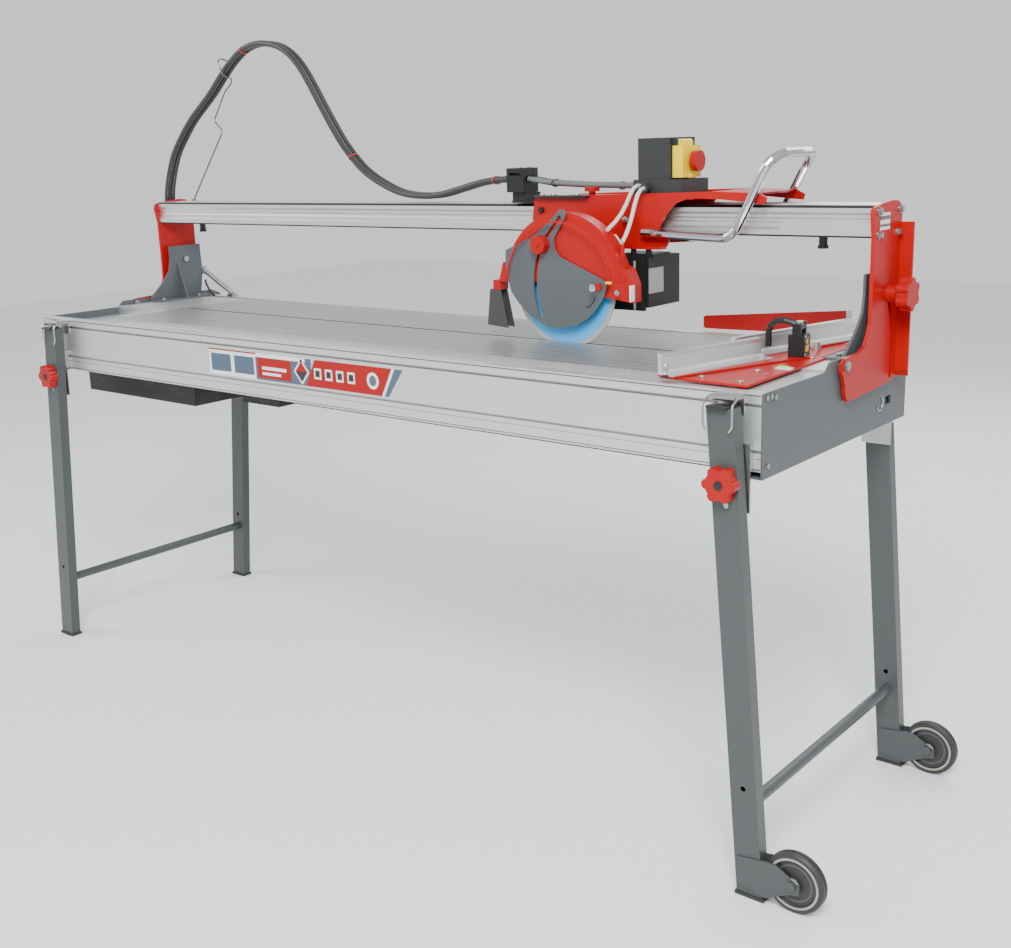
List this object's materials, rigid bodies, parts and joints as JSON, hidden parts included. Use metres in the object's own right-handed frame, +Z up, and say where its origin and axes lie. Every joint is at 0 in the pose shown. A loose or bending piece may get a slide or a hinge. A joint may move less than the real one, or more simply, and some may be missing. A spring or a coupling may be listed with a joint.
{
  "type": "wet tile saw",
  "caption": "Bridge wet saw for tiles: a motor head with a diamond blade slides on a rail over a ribbed table on folding legs.",
  "frame": {"origin": "on the floor under the middle of the saw's box, hoses left out", "axes": "+X along the cut towards the wheels, +Y from the front to the rail's side, +Z up"},
  "size_m": [2.3134, 0.6554, 1.5615],
  "materials": {
    "aluminium": "satin, brushed along its length",
    "grey_paint": "satin",
    "red_paint": "gloss",
    "red_plastic": "satin",
    "zinc": "bright zinc",
    "black_plastic": "matte",
    "rubber": "matte",
    "tyre": "matte",
    "clear_tube": "clear, soft",
    "chrome": "polished",
    "yellow_plastic": "satin",
    "blade_blue": "satin, with a diamond grit rim"
  },
  "bodies": {
    "frame": {"front_beam": "aluminium", "rear_beam": "aluminium", "end_plates": "grey_paint", "table_front": "aluminium", "table_rear": "aluminium", "end_shelves": "aluminium", "water_tray": "black_plastic", "pump": "black_plastic", "pump_lead": "rubber", "brackets": "grey_paint", "brace": "zinc", "tilt_studs": "zinc", "pivot_bolts": "zinc", "frame_bolts": "zinc", "leg_brackets": "zinc", "latch_mounts": "zinc", "stop_base": "red_paint", "stop_clamp": "black_plastic"},
    "legs_left": {"legs_left": "grey_paint", "feet_left": "rubber"},
    "legs_right": {"legs_right": "grey_paint", "feet_right": "rubber"},
    "bridge": {"columns": "red_paint", "rail": "aluminium", "bridge_bolts": "zinc", "bumpers": "black_plastic", "hose_junction": "black_plastic", "support_wire": "zinc", "hose_loop_front": "rubber", "hose_loop_rear": "rubber"},
    "carriage": {"carriage": "black_plastic", "hose_clamp": "black_plastic"},
    "head": {"head_cover": "red_paint", "top_hoses": "rubber", "motor": "black_plastic", "blade_guard": "red_paint", "water_tubes": "clear_tube", "handle": "chrome", "switch_box": "black_plastic", "splash_flap": "rubber"},
    "wheel_front": {"wheel_front": "tyre"},
    "wheel_rear": {"wheel_rear": "tyre"},
    "knob_leg_left": {"knob_leg_left": "red_plastic"},
    "knob_leg_right": {"knob_leg_right": "red_plastic"},
    "latch_left": {"latch_left": "zinc"},
    "latch_right": {"latch_right": "zinc"},
    "knob_tilt_left": {"knob_tilt_left": "red_plastic"},
    "knob_tilt_right": {"knob_tilt_right": "red_plastic"},
    "roller_1": {"roller_1": "zinc"},
    "roller_2": {"roller_2": "zinc"},
    "roller_3": {"roller_3": "zinc"},
    "roller_4": {"roller_4": "zinc"},
    "depth_knob": {"depth_knob": "red_plastic"},
    "switch_flap": {"switch_flap": "yellow_plastic"},
    "stop_button": {"stop_button": "red_plastic"},
    "blade": {"blade": "blade_blue"},
    "guard_plate": {"guard_plate": "grey_paint"},
    "guard_knob": {"guard_knob": "red_plastic"},
    "angle_stop": {"angle_stop": "aluminium"},
    "stop_lever": {"stop_lever": "black_plastic"}
  },
  "joints": [
    {"name": "legs_left_fold", "type": "hinge", "parent": "frame", "child": "legs_left", "pos_m": [-1.02625, 0.0177, 0.7], "axis": [0, -1, 0], "range_deg": [0, 86]},
    {"name": "legs_right_fold", "type": "hinge", "parent": "frame", "child": "legs_right", "pos_m": [0.96574, 0.0177, 0.7], "axis": [0, 1, 0], "range_deg": [0, 86]},
    {"name": "wheel_front_spin", "type": "hinge", "parent": "legs_right", "child": "wheel_front", "pos_m": [1.10174, -0.29479, 0.055], "axis": [0, 1, 0], "continuous": true},
    {"name": "wheel_rear_spin", "type": "hinge", "parent": "legs_right", "child": "wheel_rear", "pos_m": [1.10174, 0.30621, 0.055], "axis": [0, 1, 0], "continuous": true},
    {"name": "knob_leg_left_turn", "type": "hinge", "parent": "legs_left", "child": "knob_leg_left", "pos_m": [-1.02188, -0.31729, 0.738], "axis": [0, -1, 0], "continuous": true},
    {"name": "knob_leg_right_turn", "type": "hinge", "parent": "legs_right", "child": "knob_leg_right", "pos_m": [0.96271, -0.31729, 0.738], "axis": [0, -1, 0], "continuous": true},
    {"name": "latch_left_swing", "type": "hinge", "parent": "frame", "child": "latch_left", "pos_m": [-1.00602, -0.29529, 0.876], "axis": [-1, 0, 0], "range_deg": [0, 120]},
    {"name": "latch_right_swing", "type": "hinge", "parent": "frame", "child": "latch_right", "pos_m": [0.95166, -0.29529, 0.876], "axis": [-1, 0, 0], "range_deg": [0, 120]},
    {"name": "bridge_tilt", "type": "hinge", "parent": "frame", "child": "bridge", "pos_m": [-0.04426, 0.0177, 0.885], "axis": [1, 0, 0], "range_deg": [0, 45]},
    {"name": "knob_tilt_left_turn", "type": "hinge", "parent": "frame", "child": "knob_tilt_left", "pos_m": [-1.13426, 0.18754, 0.99529], "axis": [-1, 0, 0], "continuous": true},
    {"name": "knob_tilt_right_turn", "type": "hinge", "parent": "frame", "child": "knob_tilt_right", "pos_m": [1.04574, 0.18754, 0.99529], "axis": [1, 0, 0], "continuous": true},
    {"name": "head_slide", "type": "slide", "parent": "bridge", "child": "carriage", "axis": [1, 0, 0], "range_m": [-1.24, 0.285], "deforming": ["hose_loop_front", "hose_loop_rear"]},
    {"name": "roller_1_spin", "type": "hinge", "parent": "carriage", "child": "roller_1", "pos_m": [0.32775, 0.1219, 1.128], "axis": [0, 0, 1], "continuous": true},
    {"name": "roller_2_spin", "type": "hinge", "parent": "carriage", "child": "roller_2", "pos_m": [0.50374, 0.1219, 1.128], "axis": [0, 0, 1], "continuous": true},
    {"name": "roller_3_spin", "type": "hinge", "parent": "carriage", "child": "roller_3", "pos_m": [0.32775, 0.2415, 1.128], "axis": [0, 0, 1], "continuous": true},
    {"name": "roller_4_spin", "type": "hinge", "parent": "carriage", "child": "roller_4", "pos_m": [0.50374, 0.2415, 1.128], "axis": [0, 0, 1], "continuous": true},
    {"name": "head_plunge", "type": "hinge", "parent": "carriage", "child": "head", "pos_m": [0.28575, 0.18171, 1.146], "axis": [0, -1, 0], "range_deg": [0, 6.5], "deforming": ["top_hoses"]},
    {"name": "depth_knob_turn", "type": "hinge", "parent": "head", "child": "depth_knob", "pos_m": [0.38575, 0.14571, 1.182], "axis": [0, 0, 1], "continuous": true},
    {"name": "blade_spin", "type": "hinge", "parent": "head", "child": "blade", "pos_m": [0.40675, 0.0177, 0.999], "axis": [0, 1, 0], "continuous": true},
    {"name": "guard_swing", "type": "hinge", "parent": "head", "child": "guard_plate", "pos_m": [0.50675, -0.0036, 1.004], "axis": [0, 1, 0], "range_deg": [0, 50]},
    {"name": "guard_knob_turn", "type": "hinge", "parent": "head", "child": "guard_knob", "pos_m": [0.36818, -0.01529, 1.084], "axis": [0, -1, 0], "continuous": true},
    {"name": "switch_flap_lift", "type": "hinge", "parent": "head", "child": "switch_flap", "pos_m": [0.60174, 0.15571, 1.278], "axis": [0, -1, 0], "range_deg": [0, 80]},
    {"name": "stop_button_push", "type": "slide", "parent": "switch_flap", "child": "stop_button", "axis": [-1, 0, 0], "range_m": [0, 0.004], "stiffness_N_per_m": 300},
    {"name": "angle_stop_swing", "type": "hinge", "parent": "frame", "child": "angle_stop", "pos_m": [0.91775, 0.0577, 0.885], "axis": [0, 0, 1], "range_deg": [-10, 14]},
    {"name": "stop_lever_lift", "type": "hinge", "parent": "frame", "child": "stop_lever", "pos_m": [0.91556, 0.04395, 0.945], "axis": [-0.2079, 0.9781, 0], "range_deg": [0, 100]}
  ],
  "couplings": [
    {"joint": "roller_1_spin", "follows": "head_slide", "rad_per_m": 133.33},
    {"joint": "roller_2_spin", "follows": "head_slide", "rad_per_m": 133.33},
    {"joint": "roller_3_spin", "follows": "head_slide", "rad_per_m": -133.33},
    {"joint": "roller_4_spin", "follows": "head_slide", "rad_per_m": -133.33}
  ]
}
